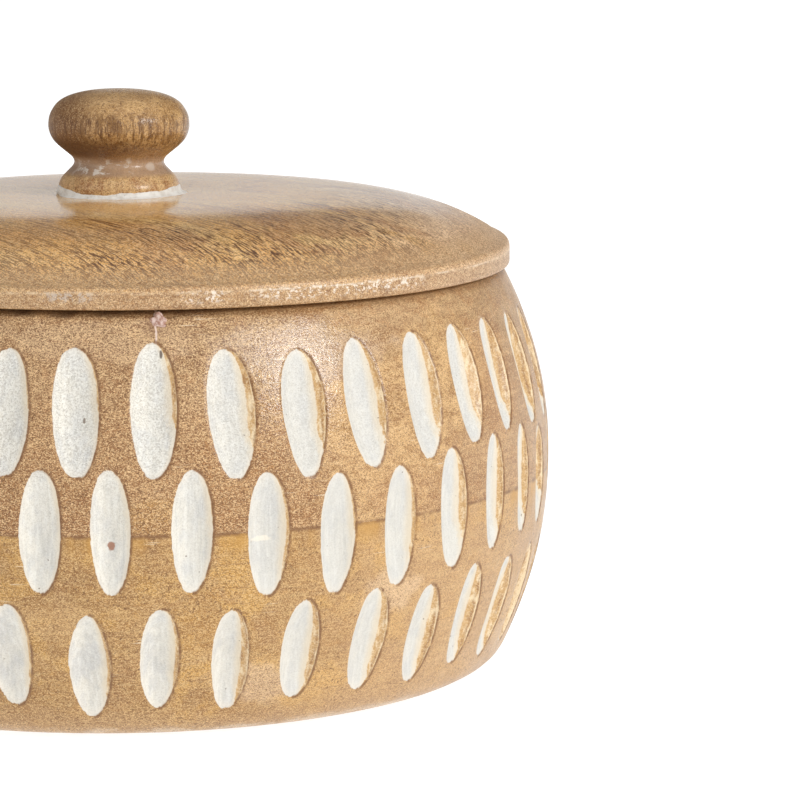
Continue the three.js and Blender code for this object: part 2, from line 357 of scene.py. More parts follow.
def outline(cut):
    """A cut's outline on the unrolled wall, as (across, along) in mm."""
    local, _, _ = cut_ring(cut, *CUT_RINGS[0][:2])
    return local * (cut["stretch"], 1) + (cut["across"], cut["along"])


def apart(line, other):
    """The least distance between two rows of points on the unrolled wall."""
    away = line[:, None] - other[None]
    away[..., 0] -= ROUND_LENGTH * np.round(away[..., 0] / ROUND_LENGTH)
    return np.linalg.norm(away, axis=2).min()


def make_room(cuts, seam):
    """Shrink the cuts out of the photograph's sight that come too near another cut or
    the seam."""
    along = np.arange(0, REACH[-1], 0.25)
    seam = np.column_stack([np.interp(along, seam[:, 1], seam[:, 0]), along])
    for cut in cuts:
        if not cut["free"]:
            continue
        others = [seam] + [
            outline(c)
            for c in cuts
            if c is not cut
            and abs(math.remainder(c["across"] - cut["across"], ROUND_LENGTH)) < NEIGHBOUR_REACH
        ]
        while min(apart(outline(cut), other) for other in others) < CUT_GAP:
            cut["half_length"] *= SHRINK
            cut["half_width"] *= SHRINK


def seam_line():
    """A line up the back of the bowl that passes between the cuts, as (across, along)."""
    top, bottom = (ROWS[k]["first"] + 18.5 * 360 / CUTS_PER_ROW for k in (0, 2))
    middle = ROWS[1]["first"] + 19.5 * 360 / CUTS_PER_ROW
    heights = (0, 29.2, 36.2, 55.3, 62.3, BOWL_HEIGHT)
    knots = np.radians((bottom, bottom, middle, middle, top, top)) * BELLY_RADIUS
    reaches = [0, *(float(reach_at(h)) for h in heights[1:-1]), REACH[-1]]
    along = np.linspace(0, REACH[-1], round(REACH[-1] / GRID_STEP) + 1)
    return np.column_stack([np.interp(along, reaches, knots) - ROUND_LENGTH, along])


def carved_wall():
    """The outside of the bowl, cuts and all, in mm: points, faces and attributes."""
    cuts = all_cuts()
    seam = seam_line()
    make_room(cuts, seam)
    columns = round(ROUND_LENGTH / GRID_STEP)
    steps = np.arange(1, columns)[:, None] / columns * ROUND_LENGTH
    flat = [seam, seam + (ROUND_LENGTH, 0)]
    flat.append(seam[0] + steps * (1, 0))
    flat.append(seam[-1] + steps * (1, 0))

    outlines = [outline(cut) for cut in cuts]
    rows = np.arange(1, int(REACH[-1] / (GRID_STEP * ROW_SHARE)))
    grid = np.array(
        [
            (seam[0, 0] + (i + 0.5 * (j % 2)) * GRID_STEP, j * GRID_STEP * ROW_SHARE)
            for j in rows
            for i in range(-6, columns + 7)
        ]
    )
    left = np.interp(grid[:, 1], seam[:, 1], seam[:, 0])
    right = left + ROUND_LENGTH
    keep = (grid[:, 0] > left + SEAM_MARGIN) & (grid[:, 0] < right - SEAM_MARGIN)
    keep &= (grid[:, 1] > SEAM_MARGIN) & (grid[:, 1] < REACH[-1] - SEAM_MARGIN)
    grid = grid[keep]
    clear = np.ones(len(grid), bool)
    for cut in cuts:
        local = (grid - (cut["across"], cut["along"])) / (cut["stretch"], 1)
        near = np.abs(local[:, 0] / (cut["half_width"] + CUT_MARGIN)) ** CUT_SQUARENESS
        near += np.abs(local[:, 1] / (cut["half_length"] + CUT_MARGIN)) ** CUT_SQUARENESS
        clear &= near > 1
    flat += [*outlines, grid[clear]]

    starts = np.concatenate([[0], np.cumsum([len(part) for part in flat])]).astype(int)
    flat = np.vstack(flat)
    n = len(seam)
    bottom = [0, *range(starts[2], starts[3]), starts[1]]
    top = [n - 1, *range(starts[3], starts[4]), starts[1] + n - 1]
    border = bottom + list(range(starts[1] + 1, starts[2])) + top[::-1][1:]
    border += list(range(n - 2, 0, -1))
    holes = [list(range(starts[4 + i], starts[5 + i])) for i in range(len(cuts))]
    out, _, triangles, origins, _, owners = delaunay_2d_cdt(
        [Vector(p) for p in flat], [], [border, *holes], 0, 1e-5, True
    )
    place = {source: k for k, sources in enumerate(origins) for source in sources}
    out = np.array([tuple(p) for p in out])
    faces = [tuple(t) for t, owner in zip(triangles, owners) if list(owner) == [0]]

    points = [on_wall(out[:, 0], out[:, 1])]
    count = len(out)
    floats = {key: [np.zeros(count)] for key in ("cut_depth", "cut_across", "cut_up")}
    floats.update({key: [np.zeros(count)] for key in cuts[0]["floats"]})
    floats["cut_edge"] = [np.full(count, FAR_FROM_CUTS)]
    for cut, hole in zip(cuts, holes):
        previous = [place[i] for i in hole]
        local, _, x = cut_ring(cut, *CUT_RINGS[0][:2])
        floats["cut_edge"][0][previous] = CUT_RINGS[0][1]
        floats["cut_across"][0][previous] = x
        floats["cut_up"][0][previous] = local[:, 1] / cut["half_length"]
        for key, value in cut["floats"].items():
            floats[key][0][previous] = value
        for share, outset, rounding in CUT_RINGS[1:]:
            local, deep, x = cut_ring(cut, share, outset)
            deep = np.maximum(deep, 0) + rounding
            spot = local * (cut["stretch"], 1) + (cut["across"], cut["along"])
            points.append(on_wall(spot[:, 0], spot[:, 1], deep))
            floats["cut_depth"].append(deep if not outset else np.zeros(RING_POINTS))
            floats["cut_across"].append(x)
            floats["cut_up"].append(local[:, 1] / cut["half_length"])
            edge = outset or (share - 1) * cut["half_width"]
            floats["cut_edge"].append(np.full(RING_POINTS, edge))
            for key, value in cut["floats"].items():
                floats[key].append(np.full(RING_POINTS, value))
            ring = list(range(count, count + RING_POINTS))
            count += RING_POINTS
            for i in range(RING_POINTS):
                j = (i + 1) % RING_POINTS
                faces.append((previous[i], previous[j], ring[j], ring[i]))
            previous = ring
        faces.append(tuple(previous))
    floats = {key: np.concatenate(parts) for key, parts in floats.items()}
    ends = [[place[i] for i in row[:-1]] for row in (bottom, top)]
    return np.vstack(points), faces, floats, ends


def bowl_blocks():
    """The whole bowl as one closed mesh, sawn at the glue line into its two blocks."""
    points, faces, floats, (foot_row, rim_row) = carved_wall()
    count, columns = len(points), len(rim_row)
    start = math.atan2(points[rim_row[0]][0], -points[rim_row[0]][1])
    shoulder = BOWL_HEIGHT - RIM_ROUND
    corner_top = FLOOR + INNER_CORNER
    floor_edge = wall_radius(FLOOR) - WALL
    rim = bezier(
        (MOUTH_RADIUS - WALL + RIM_ROUND, BOWL_HEIGHT),
        (MOUTH_RADIUS - WALL, BOWL_HEIGHT),
        (wall_radius(shoulder) - WALL, shoulder),
        5,
    )
    corner = bezier(
        (wall_radius(corner_top) - WALL, corner_top),
        (floor_edge, FLOOR),
        (floor_edge - INNER_CORNER, FLOOR),
        10,
    )
    floor = [(r, FLOOR) for r in (56, 44, 32, 20, 10, 0)]
    inside = np.vstack(
        [rim, wall_points(shoulder, corner_top, 30, WALL)[1:], corner[1:], floor]
    )
    inner_points, inner_faces = lathe(inside, columns, start)
    link = [
        (rim_row[i], rim_row[(i + 1) % columns], count + (i + 1) % columns, count + i)
        for i in range(columns)
    ]
    points = np.vstack([points, inner_points])
    faces += link + [tuple(count + i for i in f) for f in inner_faces]

    foot = [(r, 0.0) for r in (74, 60, 40, 20, 0)]
    foot_start = math.atan2(points[foot_row[0]][0], -points[foot_row[0]][1])
    foot_points, foot_faces = lathe(foot, columns, foot_start)
    count = len(points)
    faces += [
        (foot_row[(i + 1) % columns], foot_row[i], count + i, count + (i + 1) % columns)
        for i in range(columns)
    ]
    faces += [tuple(count + i for i in f)[::-1] for f in foot_faces]
    points = np.vstack([points, foot_points])
    more = len(points) - len(floats["cut_depth"])
    floats = {
        key: np.concatenate([values, np.full(more, FAR_FROM_CUTS * (key == "cut_edge"))])
        for key, values in floats.items()
    }
    whole = make_object("bowl_whole", points, faces, floats)

    blocks = []
    for name, keep_up in (("lower_block_carved", False), ("upper_block_carved", True)):
        bm = bmesh.new()
        bm.from_mesh(whole.data)
        bmesh.ops.remove_doubles(bm, verts=bm.verts, dist=0.004 * MM)
        bmesh.ops.recalc_face_normals(bm, faces=bm.faces)
        height = SEAM_HEIGHT + (GLUE_GROOVE / 2 if keep_up else -GLUE_GROOVE / 2)
        cut = bmesh.ops.bisect_plane(
            bm,
            geom=[*bm.verts, *bm.edges, *bm.faces],
            dist=1e-7,
            plane_co=(0, 0, height * MM),
            plane_no=(0, 0, 1),
            clear_inner=keep_up,
            clear_outer=not keep_up,
        )["geom_cut"]
        edges = [e for e in cut if isinstance(e, bmesh.types.BMEdge)]
        cap = bmesh.ops.triangle_fill(bm, use_beauty=True, use_dissolve=False, edges=edges)
        for face in cap["geom"]:
            if isinstance(face, bmesh.types.BMFace):
                face.smooth = False
        bmesh.ops.recalc_face_normals(bm, faces=bm.faces)
        for edge in edges:
            edge.smooth = False
        mesh = bpy.data.meshes.new(name)
        bm.to_mesh(mesh)
        bm.free()
        block = bpy.data.objects.new(name, mesh)
        bpy.context.scene.collection.objects.link(block)
        blocks.append(block)
    bpy.data.objects.remove(whole)
    return blocks


def dome_height(radius):
    """Height of the lid's top over its seat: a low swelling outside the knob, then a fall."""
    swell = np.clip((radius - 13) / 12, 0, 1)
    return LID_CROWN + 0.35 * swell - DOME_FALL * (radius / LID_RADIUS) ** DOME_POWER


def lid_profile():
    """The lid's section, from the screw hole along the underside and back over the dome. The
    dome runs on into the rounded shoulder, which ends in a worn arris over the band."""
    spigot = MOUTH_RADIUS - WALL - SPIGOT_CLEARANCE
    hollow = spigot - SPIGOT_WIDTH
    top, end = HOLLOW_HEIGHT, -SPIGOT_DROP
    start = np.array([SHOULDER_START, dome_height(SHOULDER_START)])
    slope = -DOME_FALL * DOME_POWER / LID_RADIUS
    slope *= (SHOULDER_START / LID_RADIUS) ** (DOME_POWER - 1)
    shoulder = cubic(
        (LID_RADIUS, ARRIS_HEIGHT),
        (LID_RADIUS, ARRIS_HEIGHT + 1.86),
        start + 2.39 * np.array([1, slope]),
        start,
        14,
    )
    dome = [(r, dome_height(r)) for r in SHOULDER_START * np.sqrt(np.linspace(0.97, 0.001, 28))]
    return np.vstack(
        [
            [(SCREW_HOLE, dome_height(0)), (SCREW_HOLE, 6.1), (4.4, 3.3)],
            [(6, top), (20, top), (40, top)],
            bezier((hollow - 4, top), (hollow, top), (hollow, -1), 6),
            bezier((hollow, end + 0.5), (hollow, end), (hollow + 0.5, end), 3),
            bezier((spigot - 0.5, end), (spigot, end), (spigot, end + 0.5), 3),
            [(spigot, -3), (spigot, 0)],
            bezier((LID_RADIUS - 0.8, 0), (LID_RADIUS, 0), (LID_RADIUS, 0.8), 4),
            [(LID_RADIUS, 1.7), (LID_RADIUS, 2.6), (LID_RADIUS - 0.03, 3.2)],
            shoulder,
            [point for point in dome if point[0] > SCREW_HOLE + 0.2],
        ]
    )


def lid_object():
    """The lid, its lower edge at LID_SEAT. Its top is not quite level, and it sits a
    little to one side."""
    points, faces = lathe(lid_profile(), 300, closed=True)
    radius = np.hypot(points[:, 0], points[:, 1])
    angle = np.arctan2(points[:, 0], -points[:, 1])
    on_top = np.clip((points[:, 2] - ARRIS_HEIGHT) / 2.5, 0, 1) * (radius > 2.5)
    wear = 0.10 * np.sin(7 * angle + 1) + 0.08 * np.sin(17 * angle + 2)
    wear += 0.06 * np.sin(43 * angle)
    arris = np.exp(-((points[:, 2] - ARRIS_HEIGHT) ** 2) / 0.5) * (radius > 80)
    points[:, 2] += LID_TILT * points[:, 0] * on_top + arris * wear
    inwards = 1 - (0.03 + 0.03 * np.sin(11 * angle + 3)) * (radius > 80) / radius
    points[:, 0] = points[:, 0] * inwards + LID_SHIFT * (radius > 5)
    points[:, 1] *= inwards
    points[:, 2] += LID_SEAT
    return make_object("lid_domed", points, faces)


def cubic(start, leave, arrive, end, steps):
    t = np.linspace(0, 1, steps + 1)[:, None]
    start, leave, arrive, end = (np.array(p, float) for p in (start, leave, arrive, end))
    first = (1 - t) ** 3 * start + 3 * (1 - t) ** 2 * t * leave
    return first + 3 * (1 - t) * t * t * arrive + t**3 * end


def smooth_line(points, steps):
    """A smooth curve through the points (Catmull-Rom)."""
    points = np.array(points, float)
    ends = np.vstack([2 * points[0] - points[1], points, 2 * points[-1] - points[-2]])
    t = np.arange(steps)[:, None] / steps
    line = []
    for a, b, c, d in zip(ends, ends[1:], ends[2:], ends[3:]):
        line.append(
            b + 0.5 * t * (c - a + t * (2 * a - 5 * b + 4 * c - d + t * (3 * (b - c) + d - a)))
        )
    return np.vstack(line + [points[-1:]])


def knob_object():
    """The knob: a foot that sweeps in to the neck, and a full, flattened cap."""
    profile = np.vstack(
        [
            [(0, 12.9), (SCREW_HOLE, 11.7), (SCREW_HOLE, 0)],
            [(8, 0), (13.5, 0)],
            bezier((13.5, 0), (13.9, 0), (13.9, 0.4), 3)[1:],
            smooth_line(KNOB_SIDES, 3),
        ]
    )
    points, faces = lathe(profile, 96)
    angle = np.arctan2(points[:, 0], -points[:, 1])
    radius = np.hypot(points[:, 0], points[:, 1])
    uneven = 0.004 * np.sin(2 * angle + 0.7) + 0.003 * np.sin(3 * angle + 2)
    points[:, :2] *= np.where(radius > 5, 1 + uneven, 1)[:, None]
    points[:, 2] += KNOB_SEAT
    return make_object("knob_turned", points, faces)


def paint_bead():
    """The paint left in the corner round the knob's foot, its upper edge uneven."""
    columns = 160
    angles = np.arange(columns) * TAU / columns
    turn = (angles + math.pi) % TAU - math.pi
    reach = 15.3 + 0.35 * np.sin(angles * 2 + 1) + 0.22 * np.sin(angles * 5)
    reach += rng.normal(0, 0.05, columns) + 0.9 * np.exp(-(((turn - 1.3) / 0.4) ** 2))
    reach -= 0.5 * np.exp(-(((turn + 1.5) / 0.4) ** 2))
    height = 1.55 + 0.15 * np.sin(angles * 5 + 2) + 0.1 * np.sin(angles * 13 + 1)
    for middle, spread, more in ((-0.3, 0.42, -0.75), (-1.3, 0.4, 0.45), (1.3, 0.35, 0.4)):
        height += more * np.exp(-(((turn - middle) / spread) ** 2))
    height += rng.normal(0, 0.05, columns)
    # rings as (distance beyond the knob's foot, share of the height), then the outer edge
    steps = ((-0.6, -0.05), (-0.6, 0.98), (0.05, 1), (0.16, 0.86), (0.3, 0.5), (0.6, 0.22))
    rings = [(14.0 + out + 0 * angles, height * tall) for out, tall in steps]
    rings.append((reach - 0.25, 0.09 + 0 * angles))
    rings.append((reach, -0.05 + 0 * angles))
    points = np.vstack(
        [np.column_stack([r * np.sin(angles), -r * np.cos(angles), z]) for r, z in rings]
    )
    points[:, 2] += LID_SEAT + LID_CROWN + LID_TILT * points[:, 0]
    faces = []
    for k in range(len(rings)):
        low, high = k * columns, ((k + 1) % len(rings)) * columns
        for i in range(columns):
            j = (i + 1) % columns
            faces.append((low + i, high + i, high + j, low + j))
    return make_object("paint_bead", points, faces)


def crack_filler():
    """The crumb of paint at the top of the crack, under the lid's edge."""
    mesh = bpy.data.meshes.new("crack_filler")
    bm = bmesh.new()
    bmesh.ops.create_icosphere(bm, subdivisions=4, radius=1)
    centre = Vector(on_bowl(5.2, 90.2, 0.2))
    for v in bm.verts:
        p = v.co.copy()
        lump = 1 + 0.1 * math.sin(5 * p.x + 2 * p.z) + 0.08 * math.sin(7 * p.z + 3 * p.y)
        v.co = (centre + Vector((1.7 * p.x, 0.8 * p.y, 1.9 * p.z)) * lump) * MM
    for face in bm.faces:
        face.smooth = True
    bm.to_mesh(mesh)
    bm.free()
    made = bpy.data.objects.new("crack_filler", mesh)
    bpy.context.scene.collection.objects.link(made)
    return made


def linear(red, green, blue):
    """A linear colour from 0-255 screen values."""
    return tuple(
        c / 255 / 12.92 if c <= 10 else ((c / 255 + 0.055) / 1.055) ** 2.4
        for c in (red, green, blue)
    ) + (1.0,)


class Shader:
    """A small builder of node materials. Places and lengths in it are in mm."""

    def __init__(self, name):
        self.material = bpy.data.materials.new(name)
        self.material.use_nodes = True
        self.tree = self.material.node_tree
        self.tree.nodes.clear()
        texture = self.tree.nodes.new("ShaderNodeTexCoord")
        self.place = self.vector("SCALE", texture.outputs["Object"], scale=1000.0)
        self.x, self.y, self.z = (
            self.node("SeparateXYZ", {"Vector": self.place}, axis) for axis in "XYZ"
        )

    def node(self, kind, inputs, output=0, **settings):
        made = self.tree.nodes.new("ShaderNode" + kind)
        for key, value in settings.items():
            setattr(made, key, value)
        for key, value in inputs.items():
            socket = made.inputs[key]
            if isinstance(value, bpy.types.NodeSocket):
                self.tree.links.new(value, socket)
            else:
                socket.default_value = value
        return made.outputs[output] if len(made.outputs) else None

    def vector(self, operation, a, b=None, scale=None):
        inputs = {0: a}
        if b is not None:
            inputs[1] = b
        if scale is not None:
            inputs["Scale"] = scale
        output = "Value" if operation == "LENGTH" else "Vector"
        return self.node("VectorMath", inputs, output, operation=operation)

    def math(self, operation, a, b=0.0):
        return self.node("Math", {0: a, 1: b}, operation=operation)

    def times(self, *values):
        result = values[0]
        for value in values[1:]:
            result = self.math("MULTIPLY", result, value)
        return result

    def plus(self, a, b, share=1.0):
        """a with a share of b added."""
        return self.node("Math", {0: b, 1: share, 2: a}, operation="MULTIPLY_ADD")

    def minus(self, a, b):
        return self.math("SUBTRACT", a, b)

    def most(self, a, b):
        return self.math("MAXIMUM", a, b)

    def step(self, value, low, high, start=0.0, end=1.0):
        """A smooth step from start at low to end at high, also where high is the lower."""
        inputs = {
            "Value": value, "From Min": low, "From Max": high, "To Min": start, "To Max": end,
        }
        return self.node("MapRange", inputs, interpolation_type="SMOOTHSTEP")

    def band(self, value, low, high, soft):
        """1 from low to high, 0 outside."""
        rise = self.step(value, low - soft, low + soft)
        return self.times(rise, self.step(value, high + soft, high - soft))

    def noise(self, place, scale, detail=2.0, roughness=0.5, distortion=0.0):
        inputs = {
            "Vector": place, "Scale": scale, "Detail": detail,
            "Roughness": roughness, "Distortion": distortion,
        }
        return self.node("TexNoise", inputs, "Fac")

    def fray(self, place, scale, detail=2.0, roughness=0.5):
        """Noise about 0."""
        return self.minus(self.noise(place, scale, detail, roughness), 0.5)

    def cells(self, place, scale):
        """An even random number for each small grain."""
        color = self.node("TexVoronoi", {"Vector": place, "Scale": scale}, "Color")
        return self.node("SeparateColor", {"Color": color}, "Red")

    def mix(self, share, a, b):
        return self.node("Mix", {0: share, 6: a, 7: b}, 2, data_type="RGBA")

    def tint(self, color, value, low, high, share, shade):
        """A colour with up to a share of a shade, as the value goes from low to high."""
        return self.mix(self.step(value, low, high, 0, share), color, linear(*shade))

    def cover(self, color, value, share, shade):
        """A colour with a share of a shade where the value is 1."""
        return self.mix(self.times(value, share), color, linear(*shade))

    def radius(self):
        """The distance from the box's axis."""
        return self.vector("LENGTH", self.node("CombineXYZ", {"X": self.x, "Y": self.y}))

    def stretched(self, factors, turn=0.0, offset=(0.0, 0.0, 0.0)):
        """The place in mm, turned about Z and then scaled."""
        turned = self.node(
            "VectorRotate", {"Vector": self.place, "Angle": turn}, rotation_type="Z_AXIS"
        )
        inputs = {0: turned, 1: factors, 2: offset}
        return self.node("VectorMath", inputs, "Vector", operation="MULTIPLY_ADD")

    def azimuth(self):
        """The direction round the box in degrees, from the front towards +X."""
        angle = self.math("ARCTAN2", self.x, self.math("MULTIPLY", self.y, -1.0))
        return self.math("MULTIPLY", angle, 180 / math.pi)

    def attribute(self, name):
        return self.node("Attribute", {}, "Fac", attribute_name=name)

    def blob(self, centre, radii, ragged=0.35, scale=0.16):
        """1 inside a soft ellipsoid in mm, 0 outside, with a ragged edge."""
        away = self.vector("SUBTRACT", self.place, centre)
        size = self.vector("LENGTH", self.vector("DIVIDE", away, radii))
        size = self.plus(size, self.fray(self.place, scale, 3), ragged * 4)
        return self.step(size, 1.15, 0.7)

    def patch(self, color, azimuth, height, radii, share, shade):
        """A patch of another colour on the bowl's wall, with a ragged edge."""
        inside = self.blob(on_bowl(azimuth, height), radii, 0.5, 0.11)
        return self.cover(color, inside, share, shade)

    def speckled(self, color, dark, pale, strength=1.0, place=None):
        """Fine speckle and open pores over a wood colour, and its soft part as a height."""
        place = place or self.place
        soft = self.noise(place, 1.9, 2, 0.65)
        grains, pores = self.cells(place, 6.2), self.cells(place, 4.0)
        for value, low, high, most, shade in (
            (soft, 0.52, 0.7, 0.05, dark), (soft, 0.48, 0.3, 0.05, pale),
            (grains, 0.5, 0.1, 1.0, dark), (grains, 0.6, 0.95, 1.0, pale),
            (pores, 0.09, 0.05, 0.9, dark), (pores, 0.94, 0.97, 0.6, pale),
        ):
            share = self.times(self.step(value, low, high, 0, most), strength)
            color = self.mix(share, color, shade)
        return color, soft

    def surface(self, color, roughness, normal=None, **uniform):
        inputs = {"Base Color": color, "Roughness": roughness}
        inputs.update({key.replace("_", " "): value for key, value in uniform.items()})
        if normal is not None:
            inputs["Normal"] = normal
        shader = self.node("BsdfPrincipled", inputs)
        self.node("OutputMaterial", {"Surface": shader})
        return self.material

    def bump(self, height, distance, strength=1.0):
        inputs = {"Height": height, "Distance": distance * MM, "Strength": strength}
        return self.node("Bump", inputs)


def on_bowl(azimuth, height, depth=0.0):
    """A place on the bowl's wall in mm."""
    radius = float(wall_radius(height)) - depth
    angle = math.radians(azimuth)
    return (radius * math.sin(angle), -radius * math.cos(angle), height)


def paint_coat(m, wood, gold, brown, pale, gritty):
    """The white paint in the cuts over the wood, and where it is thick. Right of a line in
    each cut it has been sanded off down to gold wood, with a pale rim outside."""
    across, up = m.attribute("cut_across"), m.attribute("cut_up")
    edge, seed = m.attribute("cut_edge"), m.attribute("cut_seed")
    bare = m.attribute("cut_bare")
    fray = m.fray(m.stretched((1, 1, 0.55)), 0.9, 3, 0.6)
    grit = m.cells(m.place, 4.2)
    patch = m.noise(m.stretched((1, 1, 0.4)), 0.6, 3, 0.6)
    inside = m.step(m.plus(edge, fray, 0.55), 0.05, -0.08)
    worn = m.plus(m.minus(up, m.attribute("cut_end")), fray, 0.4)
    worn = m.step(worn, -0.05, 0.55)
    limit = m.minus(1.1, m.times(worn, m.minus(1.1, bare)))
    past = m.plus(m.minus(across, limit), fray, 0.14)
    gone = m.step(past, -0.03, 0.05)
    cream = m.step(past, -0.45, 0.0)
    share = m.math("DIVIDE", past, m.most(m.minus(1.05, limit), 0.08))

    mottle = m.noise(m.stretched((1, 1, 0.6)), 0.24, 3, 0.6)
    white = m.mix(m.step(mottle, 0.4, 0.68), linear(230, 225, 213), linear(213, 211, 206))
    # painted shade on the floor's facet right of the keel
    keel_shade = m.times(m.step(across, -0.3, -0.12), m.step(across, 0.6, 0.1))
    white = m.cover(white, keel_shade, 0.2, (206, 206, 203))
    stroke = m.noise(m.stretched((1.5, 1.5, 0.14)), 0.9, 2, 0.5)
    white = m.tint(white, stroke, 0.52, 0.66, 0.35, (196, 194, 186))
    white = m.tint(white, stroke, 0.48, 0.34, 0.4, (242, 240, 232))
    blue = m.step(m.noise(m.place, 0.5, 3, 0.6), 0.56, 0.7, 0, 0.3)
    white = m.mix(blue, white, linear(194, 194, 190))
    white = m.mix(m.times(m.step(grit, 0.5, 0.0, 0, 0.8), gritty), white, linear(168, 160, 148))
    white = m.mix(m.times(m.step(grit, 0.5, 1.0, 0, 0.9), gritty), white, linear(248, 246, 238))
    white = m.mix(m.step(m.x, 0.0, 40.0, 0, 0.4), white, linear(206, 204, 198))
    white = m.cover(white, cream, 0.6, (234, 214, 180))
    brim = m.step(m.plus(edge, fray, 0.3), -0.7, -0.15, 0, 0.3)
    white = m.mix(brim, white, linear(236, 224, 206))
    speck = m.noise(m.vector("ADD", m.place, (31.0, 7.0, 3.0)), 0.75, 2, 0.55)
    white = m.tint(white, speck, 0.735, 0.765, 0.75, (112, 92, 74))

    strip = m.mix(m.step(patch, 0.5, 0.34, 0, 0.85), gold, pale)
    strip = m.mix(m.step(patch, 0.6, 0.68, 0, 0.6), strip, brown)
    line = m.band(m.plus(share, m.fray(m.place, 0.35), 0.8), 0.5, 0.66, 0.14)
    line = m.times(line, m.step(m.noise(m.place, 0.22, 2), 0.4, 0.55, 0.2, 0.8))
    strip = m.mix(line, strip, brown)
    rim = m.step(m.plus(share, fray, 0.3), 0.7, 0.86, 0, 0.75)
    strip = m.mix(rim, strip, pale)
    strip = m.mix(m.step(grit, 0.4, 0.0, 0, 0.3), strip, brown)
    strip = m.tint(strip, grit, 0.5, 1.0, 0.45, (238, 216, 180))
    for azimuth, height, radii, shade in (
        (-1.3, 44.1, (0.8, 5, 1.0), linear(156, 98, 66)),
        (-4.6, 70.3, (0.35, 5, 0.7), linear(120, 104, 90)),
        (5.3, 83.7, (0.35, 5, 0.9), linear(84, 66, 56)),
        (17.4, 44.5, (2.2, 5, 0.6), linear(240, 232, 216)),
    ):
        mark = m.blob(on_bowl(azimuth, height, 1.5), radii, 0.3, 0.9)
        white = m.mix(m.times(mark, 0.85), white, shade)
    coat = m.mix(gone, white, strip)
    color = m.mix(inside, wood, coat)

    # a thin dark line outside the worn side of each cut: dirt on the arris and painted shade of
    # the cut's edge
    side = m.step(across, 0.0, 0.75)
    line = m.times(m.step(edge, 0.75, 0.2), m.step(edge, -0.2, 0.05), side)
    line = m.times(line, m.step(m.plus(fray, seed, 0.12), -0.12, 0.12, 0.15, 0.8))
    color = m.mix(line, color, linear(120, 80, 46))
    thick = m.times(inside, m.minus(1.0, gone))
    return color, thick


# Patches of paler or deeper wood on each block, one of them also a painted highlight:
# direction, height, reach along X, Y and Z in mm, share and colour
UPPER_PATCHES = [
    (-3, 86.5, (25, 15, 4), 0.45, (230, 196, 156)),
    # paler wood, and a painted highlight of the right lamp's soft glare on the shoulder
    (25, 83, (24, 20, 6), 0.35, (228, 208, 188)),
    (38, 53, (11, 14, 5), 0.5, (178, 130, 82)),
    (58, 73, (12, 14, 14), 0.35, (200, 146, 94)),
    (14, 62, (10, 14, 12), 0.3, (182, 128, 72)),
    (4.5, 49.5, (11, 14, 4.5), 0.45, (202, 156, 88)),
]
LOWER_PATCHES = [
    (-9, 28, (8, 12, 6), 0.4, (226, 186, 130)),
    (9.5, 28, (6, 12, 7), 0.4, (188, 138, 66)),
    (18, 12, (9, 14, 5), 0.5, (230, 200, 168)),
    (36, 30, (8, 12, 5), 0.5, (240, 208, 170)),
    (26, 40, (10, 12, 4), 0.35, (180, 134, 78)),
]


